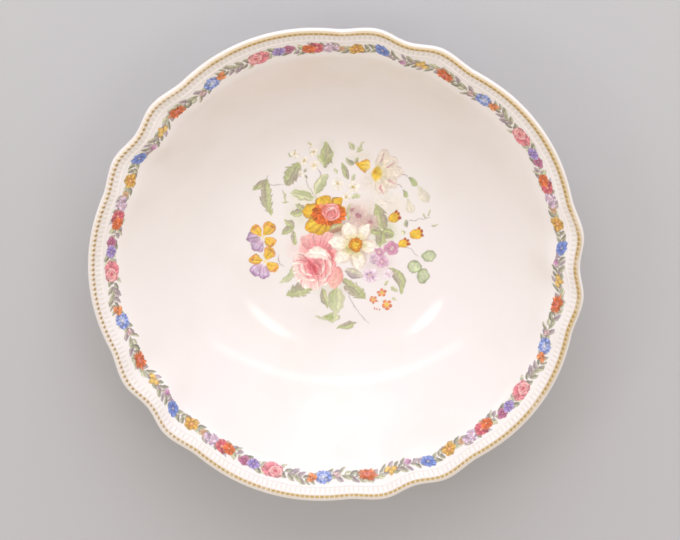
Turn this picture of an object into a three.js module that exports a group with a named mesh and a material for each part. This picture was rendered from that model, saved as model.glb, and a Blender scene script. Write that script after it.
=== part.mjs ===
// A porcelain serving bowl: a deep round bowl with a scalloped, pressed rim on a foot ring,
// a gilt line round the rim, and flower transfers fired on round the wall and in the well.
//
// Millimetres, +Z up. The origin is the centre of the foot ring's underside, where the bowl
// stands. A deep notch of the rim points along +X, and the centre bouquet grows towards +Y.

import * as THREE from "three";
import { mergeVertices } from "three/addons/utils/BufferGeometryUtils.js";

// Driving dimensions
const LOBES = 5;
const LOBE_ANGLE = 360 / LOBES;
const STEPS_PER_LOBE = 20;
const STEPS_AROUND = LOBES * STEPS_PER_LOBE;

const WELL_RADIUS = 42;
const WELL_HEIGHT = 9;
const WALL_TOP_RADIUS = 109.2;
const WALL_TOP_HEIGHT = 58.7;
const WALL_THICKNESS = 4;
const RIM_BAND_WIDTH = 3.7;
const RIM_BAND_RISE = 3.4;
const LIP_RADIUS = 1.7;

const FOOT_OUTER_RADIUS = 50;
const FOOT_HEIGHT = 5;
const FOOT_WIDTH = 4.5;
const FOOT_EDGE_ROUNDING = 0.8;
const RECESS_HEIGHT = 4.6;

// The rim's outline from a deep notch to the middle of a broad lobe, as factors of its mean
// radius. A fullness below 1 makes the stretch that leads to a station rise early.
const OUTLINE = [
  { name: "deep notch", angle: 0, factor: 0.981, fullness: 1 },
  { name: "small lobe", angle: 8, factor: 1.005, fullness: 1 },
  { name: "shallow dip", angle: 16.3, factor: 0.99, fullness: 1 },
  { name: "broad lobe", angle: LOBE_ANGLE / 2, factor: 1.009, fullness: 0.6 },
];
// The scallops grow out of the round wall between these radii.
const SCALLOP_START_RADIUS = 88;
const SCALLOP_FULL_RADIUS = 104;

// Decoration. Each layer keeps a small gap to the glaze under it.
const LAYER_GAP = 0.3;
const LAYER_THICKNESS = 0.3;
const GILT_WIDTH = 1.1;
const BORDER_INNER_RADIUS = 101.4;
const BORDER_OUTER_RADIUS = 107.9;
const BORDER_START_ANGLE = 2.6;
const BORDER_SPAN = 70.2;
// Each border strip was laid by hand, so it starts a little off its place, in degrees.
const BORDER_SHIFTS = [-0.5, 0.5, 0.1, -0.3, 0.2];
const BOUQUET_RADIUS = 45.5;
const BOUQUET_WAVES = 9;
const BOUQUET_WAVE_DEPTH = 1.6;
const BOUQUET_CENTRE_X = 2.5;

const PORCELAIN = { color: 0xf4ede6, roughness: 0.16, metalness: 0 };
const GILT = { color: 0xb98a3c, roughness: 0.35, metalness: 0.9 };
const BORDER_ENAMEL = { color: 0xc9a0a6, roughness: 0.25, metalness: 0 };
const BOUQUET_ENAMEL = { color: 0xdccfae, roughness: 0.25, metalness: 0 };

// The wall's inside, from the edge of the well's flat floor up the side, which grows steeper,
// and out over the flare to the foot of the rim band.
const innerWall = wallCurve([
  [WELL_RADIUS, WELL_HEIGHT],
  [68, WELL_HEIGHT],
  [86, 33.9],
  [99, 50.8],
  [101, 53.4],
  [104.5, 56.1],
  [WALL_TOP_RADIUS, WALL_TOP_HEIGHT],
]);

// The wall's outside, from the top of the foot to under the lip.
const outerWall = wallCurve([
  [FOOT_OUTER_RADIUS + 2, FOOT_HEIGHT],
  [70, FOOT_HEIGHT + 0.5],
  [89.4, 31.9],
  [102.1, 48.4],
  [104.1, 51],
  [107.3, 53.5],
  [WALL_TOP_RADIUS + WALL_THICKNESS - 1, WALL_TOP_HEIGHT - 2.6],
]);

// Two Bezier curves end to end, the side and the flare, from seven pairs of radius and height.
function wallCurve(pairs) {
  const points = pairs.map(([radius, height]) => new THREE.Vector2(radius, height));
  const path = new THREE.CurvePath();
  path.add(new THREE.CubicBezierCurve(...points.slice(0, 4)));
  path.add(new THREE.CubicBezierCurve(...points.slice(3)));
  return path;
}

function wallPoints(path, sideSteps, flareSteps) {
  const [side, flare] = path.curves;
  return [...side.getPoints(sideSteps), ...flare.getPoints(flareSteps).slice(1)];
}

function outlineFactor(angle) {
  const turned = THREE.MathUtils.euclideanModulo(angle, LOBE_ANGLE);
  const fromNotch = Math.min(turned, LOBE_ANGLE - turned);
  const after = OUTLINE.findIndex((station) => station.angle >= fromNotch);
  if (after === 0) {
    return OUTLINE[0].factor;
  }
  const from = OUTLINE[after - 1];
  const to = OUTLINE[after];
  const part = ((fromNotch - from.angle) / (to.angle - from.angle)) ** to.fullness;
  const eased = (1 - Math.cos(Math.PI * part)) / 2;
  return THREE.MathUtils.lerp(from.factor, to.factor, eased);
}

// Moves a point of the round bowl out or in to the scalloped outline.
function scallop(point) {
  const radius = Math.hypot(point.x, point.y);
  const angle = THREE.MathUtils.radToDeg(Math.atan2(point.y, point.x));
  const share = THREE.MathUtils.smoothstep(radius, SCALLOP_START_RADIUS, SCALLOP_FULL_RADIUS);
  const factor = THREE.MathUtils.lerp(1, outlineFactor(angle), share);
  point.x *= factor;
  point.y *= factor;
  return point;
}

// A point above the bowl's inside: its radius on the surface and its lift along the normal.
function innerPoint(radius, lift) {
  if (radius <= WELL_RADIUS) {
    return new THREE.Vector2(radius, WELL_HEIGHT + lift);
  }
  let low = 0;
  let high = 1;
  for (let halving = 0; halving < 30; halving += 1) {
    const middle = (low + high) / 2;
    if (innerWall.getPoint(middle).x < radius) {
      low = middle;
    } else {
      high = middle;
    }
  }
  const tangent = innerWall.getTangent(low);
  const normal = new THREE.Vector2(-tangent.y, tangent.x);
  return innerWall.getPoint(low).addScaledVector(normal, lift);
}

// Moves every vertex of a geometry by a function, and joins the vertices that meet.
function reshape(geometry, place) {
  geometry.deleteAttribute("normal");
  geometry.deleteAttribute("uv");
  const positions = geometry.attributes.position;
  const point = new THREE.Vector3();
  for (let i = 0; i < positions.count; i += 1) {
    point.fromBufferAttribute(positions, i);
    place(point);
    positions.setXYZ(i, point.x, point.y, point.z);
  }
  const merged = mergeVertices(geometry, 1e-4);
  merged.computeVertexNormals();
  return merged;
}

// Turns a profile about +Z and gives it the scalloped outline.
function scallopedTurning(profile) {
  const turned = new THREE.LatheGeometry(profile, STEPS_AROUND);
  turned.rotateX(Math.PI / 2);
  return reshape(turned, scallop);
}

// The rim band rises from the wall to the bead row, just inside the lip.
function rimBandPoint(share) {
  return new THREE.Vector2(
    WALL_TOP_RADIUS + share * RIM_BAND_WIDTH,
    WALL_TOP_HEIGHT + share * RIM_BAND_RISE,
  );
}

function arcPoints(centre, radius, startAngle, endAngle, steps) {
  const start = THREE.MathUtils.degToRad(startAngle);
  const end = THREE.MathUtils.degToRad(endAngle);
  const arc = new THREE.EllipseCurve(centre.x, centre.y, radius, radius, start, end, end < start);
  return arc.getPoints(steps);
}

function footPoints() {
  const inner = FOOT_OUTER_RADIUS - FOOT_WIDTH;
  const rounding = FOOT_EDGE_ROUNDING;
  const innerCorner = new THREE.Vector2(inner + rounding, rounding);
  const outerCorner = new THREE.Vector2(FOOT_OUTER_RADIUS - rounding, rounding);
  return [
    new THREE.Vector2(inner - 1.2, RECESS_HEIGHT),
    new THREE.Vector2(inner, RECESS_HEIGHT - 1.2),
    ...arcPoints(innerCorner, rounding, 180, 270, 2),
    ...arcPoints(outerCorner, rounding, -90, 0, 2),
    new THREE.Vector2(FOOT_OUTER_RADIUS, FOOT_HEIGHT - 1.2),
    new THREE.Vector2(FOOT_OUTER_RADIUS + 0.5, FOOT_HEIGHT - 0.3),
  ];
}

function bowlBody() {
  const lipCentre = rimBandPoint(1).add(new THREE.Vector2(0.5, -LIP_RADIUS));
  const profile = [
    new THREE.Vector2(0, RECESS_HEIGHT),
    ...footPoints(),
    ...wallPoints(outerWall, 8, 4),
    ...arcPoints(lipCentre, LIP_RADIUS, -60, 100, 5),
    rimBandPoint(0.9),
    rimBandPoint(0.5),
    ...wallPoints(innerWall, 12, 4).reverse(),
    new THREE.Vector2(0, WELL_HEIGHT),
  ];
  return scallopedTurning(profile);
}

function giltLine() {
  const along = rimBandPoint(1).sub(rimBandPoint(0)).normalize();
  const normal = new THREE.Vector2(-along.y, along.x);
  const corner = (across, lift) =>
    rimBandPoint(0.85).addScaledVector(along, across).addScaledVector(normal, lift);
  const half = GILT_WIDTH / 2;
  const top = LAYER_GAP + LAYER_THICKNESS;
  const profile = [
    corner(-half, LAYER_GAP),
    corner(half, LAYER_GAP),
    corner(half, top),
    corner(0, top + 0.1),
    corner(-half, top),
    corner(-half, LAYER_GAP),
  ];
  return scallopedTurning(profile);
}

function borderTransfer(index) {
  const width = BORDER_OUTER_RADIUS - BORDER_INNER_RADIUS;
  const start = BORDER_START_ANGLE + index * LOBE_ANGLE + BORDER_SHIFTS[index];
  const block = new THREE.BoxGeometry(1, 1, 1, 5, STEPS_PER_LOBE, 1);
  block.translate(0.5, 0.5, 0.5);
  return reshape(block, (point) => {
    const radius = BORDER_INNER_RADIUS + point.x * width;
    const angle = THREE.MathUtils.degToRad(start + point.y * BORDER_SPAN);
    const section = innerPoint(radius, LAYER_GAP + point.z * LAYER_THICKNESS);
    point.set(section.x * Math.cos(angle), section.x * Math.sin(angle), section.y);
    scallop(point);
  });
}

function centreBouquetTransfer() {
  const rings = 5;
  const under = [];
  const over = [];
  for (let ring = 0; ring <= rings; ring += 1) {
    under.push(new THREE.Vector2(ring / rings, 0));
    over.unshift(new THREE.Vector2(ring / rings, 1));
  }
  const disc = new THREE.LatheGeometry([...under, ...over], 6 * BOUQUET_WAVES);
  disc.rotateX(Math.PI / 2);
  return reshape(disc, (point) => {
    const angle = Math.atan2(point.y, point.x);
    const reach = BOUQUET_RADIUS + BOUQUET_WAVE_DEPTH * Math.cos(BOUQUET_WAVES * angle);
    const x = BOUQUET_CENTRE_X + reach * point.x;
    const y = reach * point.y;
    const lift = LAYER_GAP + point.z * LAYER_THICKNESS;
    const radius = Math.hypot(x, y);
    const section = innerPoint(radius, lift);
    const shrink = radius > 0 ? section.x / radius : 1;
    point.set(x * shrink, y * shrink, section.y);
  });
}

function piece(name, geometry, finish) {
  const mesh = new THREE.Mesh(geometry, new THREE.MeshStandardMaterial(finish));
  mesh.name = name;
  return mesh;
}

const bowl = new THREE.Group();
bowl.add(piece("bowl_body", bowlBody(), PORCELAIN));
bowl.add(piece("gilt_line", giltLine(), GILT));
for (let index = 0; index < LOBES; index += 1) {
  bowl.add(piece(`border_transfer_${index + 1}`, borderTransfer(index), BORDER_ENAMEL));
}
bowl.add(piece("centre_bouquet_transfer", centreBouquetTransfer(), BOUQUET_ENAMEL));

export default bowl;
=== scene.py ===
"""The porcelain serving bowl's looks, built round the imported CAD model. Lengths named in
millimetres are turned into Blender's metres by MM."""

import math

import bpy
import numpy as np
from mathutils import Matrix, Vector


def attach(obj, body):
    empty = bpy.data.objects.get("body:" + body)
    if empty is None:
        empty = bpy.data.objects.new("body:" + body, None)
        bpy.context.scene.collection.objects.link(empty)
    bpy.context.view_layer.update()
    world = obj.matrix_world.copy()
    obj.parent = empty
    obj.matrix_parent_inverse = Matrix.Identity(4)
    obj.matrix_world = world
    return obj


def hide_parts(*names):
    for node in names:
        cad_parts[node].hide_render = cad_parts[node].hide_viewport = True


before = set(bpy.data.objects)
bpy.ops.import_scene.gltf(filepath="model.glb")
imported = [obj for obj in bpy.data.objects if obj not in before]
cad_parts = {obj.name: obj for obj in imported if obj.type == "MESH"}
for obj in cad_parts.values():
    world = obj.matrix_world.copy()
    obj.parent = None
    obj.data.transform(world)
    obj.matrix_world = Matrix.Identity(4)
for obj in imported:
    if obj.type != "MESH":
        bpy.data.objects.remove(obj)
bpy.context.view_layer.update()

MM = 0.001

# The bowl, as in the CAD model
LOBES = 5
LOBE_ANGLE = 360 / LOBES
WELL_RADIUS = 42
WELL_HEIGHT = 9
WALL_TOP_RADIUS = 109.2
WALL_TOP_HEIGHT = 58.7
WALL_THICKNESS = 4
RIM_BAND_WIDTH = 3.7
RIM_BAND_RISE = 3.4
LIP_RADIUS = 1.7
FOOT_OUTER_RADIUS = 50
FOOT_HEIGHT = 5
FOOT_WIDTH = 4.5
FOOT_EDGE_ROUNDING = 0.8
BARE_FOOT_HEIGHT = 0.3
RECESS_HEIGHT = 4.6
RECESS_FILLET = 2.5
# Where the foot runs out into the wall: outwards from its side, and down from its top
FOOT_FLARE = ((0, 2.2), (0.15, 1.2), (0.7, 0.4))

# Stations of the rim's outline over half a lobe: angle from the deep notch, factor of the
# mean radius, and fullness of the stretch that leads there.
OUTLINE = ((0, 0.981, 1), (8, 1.005, 1), (16.3, 0.99, 1), (LOBE_ANGLE / 2, 1.009, 0.6))
SCALLOP_START_RADIUS = 88
SCALLOP_FULL_RADIUS = 104

# The pressed rim: a row of beads, short flutes inside them and a raised ridge where the flutes end
BEADS = 300
STEPS_PER_BEAD = 7
RIM_STEPS = BEADS * STEPS_PER_BEAD
WALL_STEPS = BEADS
RIDGE_RADIUS = 108.7
RIDGE_HEIGHT = 0.34
RIDGE_HALF_WIDTH = 0.7
FLUTE_INNER_RADIUS = 109.1
FLUTE_OUTER_RADIUS = 111.8
FLUTE_RUN_OUT = 0.3
FLUTE_DEPTH = 0.18
BEAD_RADIUS = 112.45
BEAD_HALF_WIDTH = 0.8
BEAD_HEIGHT = 0.5
LIP_CENTRE = (WALL_TOP_RADIUS + RIM_BAND_WIDTH + 0.5, WALL_TOP_HEIGHT + RIM_BAND_RISE - LIP_RADIUS)
LIP_START_RADIUS = 112.75
LIP_ARC = (-60, 35)

# Rings of the body's mesh on its inside, closest together over the beads and flutes
RIM_RADII = np.concatenate([np.linspace(114.6, 113.6, 3), np.linspace(113.4, 111.9, 7),
                            np.linspace(111.6, 109.5, 7), np.linspace(109.3, 108.0, 6)])
WALL_RADII = np.concatenate([np.linspace(107, 98, 9), np.linspace(96, 42, 34), np.linspace(38, 2.5, 10)])
OUTER_SIDE_STEPS = 22
OUTER_FLARE_STEPS = 7
LIP_STEPS = 7


# ---- The bowl's surface

def bezier(points, t):
    p0, p1, p2, p3 = (np.array(p, float) for p in points)
    t = np.asarray(t, float)[:, None]
    return (1 - t) ** 3 * p0 + 3 * t * (1 - t) ** 2 * p1 + 3 * t ** 2 * (1 - t) * p2 + t ** 3 * p3


# Radius and height of the control points of two Bezier curves: the bowl's side and its flare
INNER_WALL = ((WELL_RADIUS, WELL_HEIGHT), (68, WELL_HEIGHT), (86, 33.9), (99, 50.8), (101, 53.4),
              (104.5, 56.1), (WALL_TOP_RADIUS, WALL_TOP_HEIGHT))
OUTER_WALL = ((FOOT_OUTER_RADIUS + 2, FOOT_HEIGHT), (70, FOOT_HEIGHT + 0.5), (89.4, 31.9), (102.1, 48.4),
              (104.1, 51), (107.3, 53.5), (WALL_TOP_RADIUS + WALL_THICKNESS - 1, WALL_TOP_HEIGHT - 2.6))


def wall_points(wall, side_steps, flare_steps):
    side = bezier(wall[:4], np.linspace(0, 1, side_steps + 1))
    flare = bezier(wall[3:], np.linspace(0, 1, flare_steps + 1))
    return np.concatenate([side, flare[1:]])


inner_table = wall_points(INNER_WALL, 2000, 500)


def smooth(value, low, high):
    """0 at the low value and 1 at the high one, with an eased run between them."""
    share = np.clip((value - low) / (high - low), 0, 1)
    return share * share * (3 - 2 * share)


def inner_height(radius):
    """Height of the smooth inside at a radius: the wall, then the rim band, then the lip."""
    wall = np.interp(radius, inner_table[:, 0], inner_table[:, 1])
    band = WALL_TOP_HEIGHT + (radius - WALL_TOP_RADIUS) * RIM_BAND_RISE / RIM_BAND_WIDTH
    lip = LIP_CENTRE[1] + np.sqrt(np.maximum(LIP_RADIUS ** 2 - (radius - LIP_CENTRE[0]) ** 2, 0))
    return np.where(radius > LIP_START_RADIUS, lip, np.where(radius > WALL_TOP_RADIUS, band, wall))


def outline_factor(degrees):
    turned = np.mod(degrees, LOBE_ANGLE)
    from_notch = np.minimum(turned, LOBE_ANGLE - turned)
    factor = np.full_like(from_notch, OUTLINE[0][1])
    for (start, low, _), (end, high, fullness) in zip(OUTLINE, OUTLINE[1:]):
        here = (from_notch >= start) & (from_notch <= end)
        part = np.clip((from_notch - start) / (end - start), 0, 1) ** fullness
        eased = (1 - np.cos(np.pi * part)) / 2
        factor = np.where(here, low + (high - low) * eased, factor)
    return factor


def scallop(x, y):
    """Moves points of the round bowl out or in to the scalloped outline."""
    radius = np.hypot(x, y)
    share = smooth(radius, SCALLOP_START_RADIUS, SCALLOP_FULL_RADIUS)
    factor = 1 + share * (outline_factor(np.degrees(np.arctan2(y, x))) - 1)
    return x * factor, y * factor


# Distance over which the slope of the inside is measured
SLOPE_STEP = 0.05


def on_inside(x, y, lift):
    """Points over the inside, from places on the round plan and lifts off the glaze."""
    radius = np.maximum(np.hypot(x, y), 1e-9)
    slope = (inner_height(radius + SLOPE_STEP) - inner_height(radius - SLOPE_STEP)) / (2 * SLOPE_STEP)
    length = np.sqrt(1 + slope ** 2)
    inwards = lift * slope / length
    px, py = scallop(x, y)
    px = px - inwards * x / radius
    py = py - inwards * y / radius
    return np.stack([px, py, inner_height(radius) + lift / length], -1)


def ring(radius, height, steps):
    """One ring of the body: radius and height may differ from step to step."""
    angle = np.arange(steps) * (2 * np.pi / steps)
    x, y = scallop(radius * np.cos(angle), radius * np.sin(angle))
    return np.stack([x, y, height + 0 * angle], -1)


def faces_between(a, count_a, b, count_b):
    """Faces between two rings, each given as its first vertex and its count. The counts may differ
    by a whole factor, and a ring of one point is a pole."""
    if count_a == 1:
        return [(a, b + i, b + (i + 1) % count_b) for i in range(count_b)]
    if count_b == 1:
        return [(a + i, b, a + (i + 1) % count_a) for i in range(count_a)]
    count = min(count_a, count_b)
    step_a = count_a // count
    step_b = count_b // count
    faces = []
    for i in range(count):
        low = [a + k % count_a for k in range(i * step_a, (i + 1) * step_a + 1)]
        high = [b + k % count_b for k in range(i * step_b, (i + 1) * step_b + 1)]
        faces.append(tuple(low[::-1] + high))
    return faces


def rings_to_mesh(name, rings):
    counts = [len(points) for points in rings]
    starts = np.cumsum([0] + counts).tolist()
    faces = []
    for i in range(len(rings) - 1):
        faces += faces_between(starts[i], counts[i], starts[i + 1], counts[i + 1])
    mesh = bpy.data.meshes.new(name)
    mesh.from_pydata(np.concatenate(rings) * MM, [], faces)
    mesh.validate()
    mesh.shade_smooth()
    return mesh


def add_object(name, data):
    made = bpy.data.objects.new(name, data)
    bpy.context.scene.collection.objects.link(made)
    return made


def bump(value, centre, half_width):
    """A smooth hump of height 1."""
    near = np.clip(np.abs(value - centre) / half_width, 0, 1)
    return (1 + np.cos(np.pi * near)) / 2


def bead_wave(steps):
    """1 at each bead's middle and 0 between beads, round the rim."""
    phase = np.arange(steps) * (BEADS / steps)
    return (1 + np.cos(2 * np.pi * phase)) / 2


def flute_depth(radius, wave):
    """0 outside the flutes and 1 at the bottom of each groove."""
    middle = (FLUTE_INNER_RADIUS + FLUTE_OUTER_RADIUS) / 2
    half_width = (FLUTE_OUTER_RADIUS - FLUTE_INNER_RADIUS) / 2 + FLUTE_RUN_OUT
    return np.sqrt(bump(radius, middle, half_width)) * (1 - wave) ** 3


def rim_height(radius, wave):
    """Height of the pressed rim at a radius, all round."""
    ridge = RIDGE_HEIGHT * bump(radius, RIDGE_RADIUS, RIDGE_HALF_WIDTH)
    bead = BEAD_HEIGHT * np.sqrt(bump(radius, BEAD_RADIUS, BEAD_HALF_WIDTH) * wave)
    return inner_height(radius) + ridge + bead - FLUTE_DEPTH * flute_depth(radius, wave)


def arc(centre, radius, start, end, steps):
    """Points of an arc in the radius and height plane, from one angle in degrees to another."""
    angles = np.radians(np.linspace(start, end, steps + 1))
    return [(centre[0] + radius * math.cos(a), centre[1] + radius * math.sin(a)) for a in angles]


def foot_profile():
    """Radius and height from the middle of the recess, over the foot ring, to the outer wall."""
    inner = FOOT_OUTER_RADIUS - FOOT_WIDTH
    edge = FOOT_EDGE_ROUNDING
    corner = inner - RECESS_FILLET
    profile = [(x, RECESS_HEIGHT) for x in np.linspace(4, corner, 8)]
    profile += arc((corner, RECESS_HEIGHT - RECESS_FILLET), RECESS_FILLET, 90, 0, 5)
    profile += arc((inner + edge, edge), edge, 180, 270, 4)
    profile += arc((FOOT_OUTER_RADIUS - edge, edge), edge, -90, 0, 4)
    profile += [(FOOT_OUTER_RADIUS + out, FOOT_HEIGHT - down) for out, down in FOOT_FLARE]
    return profile


def body_mesh():
    """Rings from the middle of the recess, up the outside, over the lip and down into the well."""
    wave = bead_wave(RIM_STEPS)
    outside = wall_points(OUTER_WALL, OUTER_SIDE_STEPS, OUTER_FLARE_STEPS)
    lip = arc(LIP_CENTRE, LIP_RADIUS, *LIP_ARC, LIP_STEPS)
    rings = [np.array([[0, 0, RECESS_HEIGHT]])]
    rings += [ring(x, z, WALL_STEPS) for x, z in foot_profile()]
    rings += [ring(x, z, WALL_STEPS) for x, z in outside]
    rings += [ring(x, z, RIM_STEPS) for x, z in lip]
    rim_start = sum(len(points) for points in rings)
    rings += [ring(radius, rim_height(radius, wave), RIM_STEPS) for radius in RIM_RADII]
    rings += [ring(radius, inner_height(radius), WALL_STEPS) for radius in WALL_RADII]
    rings.append(np.array([[0, 0, WELL_HEIGHT]]))
    mesh = rings_to_mesh("bowl_body_looks", rings)
    in_rim = np.concatenate([flute_depth(radius, wave) for radius in RIM_RADII])
    pooled = np.zeros(len(mesh.vertices), np.float32)
    pooled[rim_start:rim_start + len(in_rim)] = in_rim
    mesh.attributes.new("pooled", "FLOAT", "POINT").data.foreach_set("value", pooled)
    return mesh


# ---- Materials

def new_material(name):
    material = bpy.data.materials.new(name)
    material.use_nodes = True
    nodes = material.node_tree.nodes
    return material, nodes, material.node_tree.links, nodes["Principled BSDF"]


def noise(nodes, links, scale, detail=4, roughness=0.55):
    place = nodes.new("ShaderNodeTexCoord")
    node = nodes.new("ShaderNodeTexNoise")
    node.inputs["Scale"].default_value = scale
    node.inputs["Detail"].default_value = detail
    node.inputs["Roughness"].default_value = roughness
    links.new(place.outputs["Object"], node.inputs["Vector"])
    return node.outputs["Fac"]


def ramp(nodes, links, source, stops):
    node = nodes.new("ShaderNodeValToRGB")
    while len(node.color_ramp.elements) < len(stops):
        node.color_ramp.elements.new(0.5)
    for element, (place, colour) in zip(node.color_ramp.elements, stops):
        element.position = place
        element.color = (*colour, 1)
    links.new(source, node.inputs["Fac"])
    return node.outputs["Color"]


# Tints of the glaze from the low to the high values of a soft noise
GLAZE_TINTS = ((0.3, (0.82, 0.77, 0.735)), (0.5, (0.845, 0.80, 0.775)), (0.7, (0.85, 0.795, 0.785)))
POOLED_GLAZE = (0.72, 0.66, 0.60)
GLAZE_ROUGHNESS = 0.13
GLAZE_IOR = 1.5
RIPPLE_STRENGTH = 0.06
RIPPLE_HEIGHT = 0.4
BISCUIT = (0.72, 0.64, 0.53)
BISCUIT_ROUGHNESS = 0.85
GILT_METALLIC = 0.6
GILT_ROUGHNESS = 0.36

# Scales of the noise, in blotches to the metre
TINT_SCALE = 28
RIPPLE_SCALE = 160
BISCUIT_SCALE = 700


def glaze_colour(nodes, links):
    return ramp(nodes, links, noise(nodes, links, TINT_SCALE), GLAZE_TINTS)


def glaze_finish(nodes, links, shader):
    """The glaze's gloss, with the faint ripple of a fired surface."""
    shader.inputs["Roughness"].default_value = GLAZE_ROUGHNESS
    shader.inputs["IOR"].default_value = GLAZE_IOR
    ripple = nodes.new("ShaderNodeBump")
    ripple.inputs["Strength"].default_value = RIPPLE_STRENGTH
    ripple.inputs["Distance"].default_value = RIPPLE_HEIGHT * MM
    links.new(noise(nodes, links, RIPPLE_SCALE, 2), ripple.inputs["Height"])
    links.new(ripple.outputs["Normal"], shader.inputs["Normal"])


def mixed_colour(nodes, links, factor, a, b):
    """Two colours mixed. Each is a fixed colour or a node's output."""
    mix = nodes.new("ShaderNodeMix")
    mix.data_type = "RGBA"
    links.new(factor, mix.inputs["Factor"])
    for source, name in ((a, "A"), (b, "B")):
        if isinstance(source, tuple):
            mix.inputs[name].default_value = (*source, 1)
        else:
            links.new(source, mix.inputs[name])
    return mix.outputs["Result"]


def attribute(nodes, name, output):
    node = nodes.new("ShaderNodeAttribute")
    node.attribute_name = name
    return node.outputs[output]


def glaze_material():
    """Ivory glaze, darker where it has pooled between the flutes."""
    material, nodes, links, shader = new_material("ivory_glaze")
    pooled = attribute(nodes, "pooled", "Fac")
    colour = mixed_colour(nodes, links, pooled, glaze_colour(nodes, links), POOLED_GLAZE)
    links.new(colour, shader.inputs["Base Color"])
    glaze_finish(nodes, links, shader)
    return material


def biscuit_material():
    """The bare fired clay of the foot ring's edge."""
    material, nodes, links, shader = new_material("bare_biscuit")
    dark = tuple(0.8 * c for c in BISCUIT)
    grain = noise(nodes, links, BISCUIT_SCALE, 6, 0.7)
    colour = ramp(nodes, links, grain, ((0.35, dark), (0.65, BISCUIT)))
    links.new(colour, shader.inputs["Base Color"])
    shader.inputs["Roughness"].default_value = BISCUIT_ROUGHNESS
    return material


def enamel_material():
    """Enamel colours, painted on the mesh, over the glaze's own colour."""
    material, nodes, links, shader = new_material("fired_enamel")
    cover = attribute(nodes, "paint", "Alpha")
    enamel = attribute(nodes, "paint", "Color")
    colour = mixed_colour(nodes, links, cover, glaze_colour(nodes, links), enamel)
    links.new(colour, shader.inputs["Base Color"])
    glaze_finish(nodes, links, shader)
    return material


def gilt_material():
    """Soft gilding, rubbed through to the glaze in places, and thinned to the glaze as painted light on
    parts of the rim.
    """
    material, nodes, links, shader = new_material("gilt_wear_and_painted_light")
    # The gold's cover, with rubbed wear and painted light, where the glaze shows through
    kept = attribute(nodes, "paint", "Alpha")
    gold = attribute(nodes, "paint", "Color")
    colour = mixed_colour(nodes, links, kept, glaze_colour(nodes, links), gold)
    links.new(colour, shader.inputs["Base Color"])
    metal = nodes.new("ShaderNodeMath")
    metal.operation = "MULTIPLY"
    metal.inputs[1].default_value = GILT_METALLIC
    links.new(kept, metal.inputs[0])
    links.new(metal.outputs["Value"], shader.inputs["Metallic"])
    shader.inputs["Roughness"].default_value = GILT_ROUGHNESS
    return material


# ---- Painting the prints

# Painted cells to the millimetre, and seeds of the prints' random draws
BOUQUET_PER_MM = 8.8
GARLAND_PER_MM = 12
BOUQUET_SEED = 7
GARLAND_SEED = 11

# Enamel colours as red, green and blue from 0 to 255
LEAF = (172, 186, 120)
LEAF_DEEP = (114, 122, 84)
LEAF_PALE = (204, 210, 158)
LEAF_SHADE = (170, 163, 138)
PLUM = (138, 110, 112)
ROSE_DEEP = (200, 82, 104)
ROSE = (232, 140, 146)
ROSE_PALE = (247, 196, 190)
ROSE_CREAM = (252, 234, 224)
ORANGE_RED = (206, 80, 36)
ORANGE = (222, 126, 44)
AMBER = (220, 166, 44)
YELLOW = (230, 192, 64)
LILAC = (198, 168, 192)
LILAC_DEEP = (152, 112, 152)
MAGENTA = (176, 92, 132)
CREAM = (252, 245, 230)
STEM = (158, 134, 134)
BLUE = (104, 128, 200)
BLUE_DEEP = (80, 98, 174)
BLUE_PALE = (160, 174, 220)
SAGE = (146, 152, 124)
SAGE_DEEP = (118, 114, 100)
CRIMSON = (190, 70, 92)
CORAL = (208, 100, 52)


def cloud(random, shape, cell):
    """Soft blotches from -1 to 1 over an area."""
    values = random.uniform(-1, 1, (int(shape[0] / cell) + 2, int(shape[1] / cell) + 2))
    for axis, count in enumerate(shape):
        place = np.arange(count) / cell
        low = place.astype(int)
        share = smooth(place - low, 0, 1)
        if axis == 0:
            share = share[:, None]
        values = np.take(values, low, axis) * (1 - share) + np.take(values, low + 1, axis) * share
    return values


class Paint:
    """Colours laid over one another on a rectangle measured in millimetres."""

    def __init__(self, low, high, per_mm, seed):
        self.per_mm = per_mm
        self.x = low[0] + np.arange(int((high[0] - low[0]) * per_mm)) / per_mm
        self.y = low[1] + np.arange(int((high[1] - low[1]) * per_mm)) / per_mm
        self.rgb = np.zeros((len(self.y), len(self.x), 3))
        self.cover = np.zeros((len(self.y), len(self.x)))
        self.random = np.random.default_rng(seed)

    def near(self, points, reach):
        """The cells round some points, as a place in the picture and as x and y."""
        points = np.array(points, float)
        low = points.min(0) - reach
        high = points.max(0) + reach
        cols = slice(*np.searchsorted(self.x, (low[0], high[0])))
        rows = slice(*np.searchsorted(self.y, (low[1], high[1])))
        x, y = np.meshgrid(self.x[cols], self.y[rows])
        return (rows, cols), x, y

    def lay(self, place, colour, cover):
        """Lays one more coat over what is there."""
        over = np.clip(cover, 0, 1)
        under = self.cover[place] * (1 - over)
        total = over + under
        mixed = np.asarray(colour, float) * over[..., None] + self.rgb[place] * under[..., None]
        self.rgb[place] = mixed / np.maximum(total, 1e-6)[..., None]
        self.cover[place] = total

    def by_hand(self, reach, size):
        """Pushes the colours about a little, so that no line is quite true."""
        rows, cols = np.indices(self.cover.shape)
        push = reach * self.per_mm
        rows = rows + push * cloud(self.random, rows.shape, size * self.per_mm)
        cols = cols + push * cloud(self.random, rows.shape, size * self.per_mm)
        rows = np.clip(np.rint(rows), 0, len(self.y) - 1).astype(int)
        cols = np.clip(np.rint(cols), 0, len(self.x) - 1).astype(int)
        self.rgb = self.rgb[rows, cols]
        self.cover = self.cover[rows, cols]

    def fade(self, colour, share, mottle):
        """Old, thinly printed colour: paler, and uneven from spot to spot."""
        uneven = 1 + mottle * cloud(self.random, self.cover.shape, 0.9 * self.per_mm)
        self.rgb = blend(self.rgb, colour, np.full(self.cover.shape, share)) * uneven[..., None]


def blend(a, b, share):
    a = np.asarray(a, float)
    return a + (np.asarray(b, float) - a) * np.asarray(share)[..., None]


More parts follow.
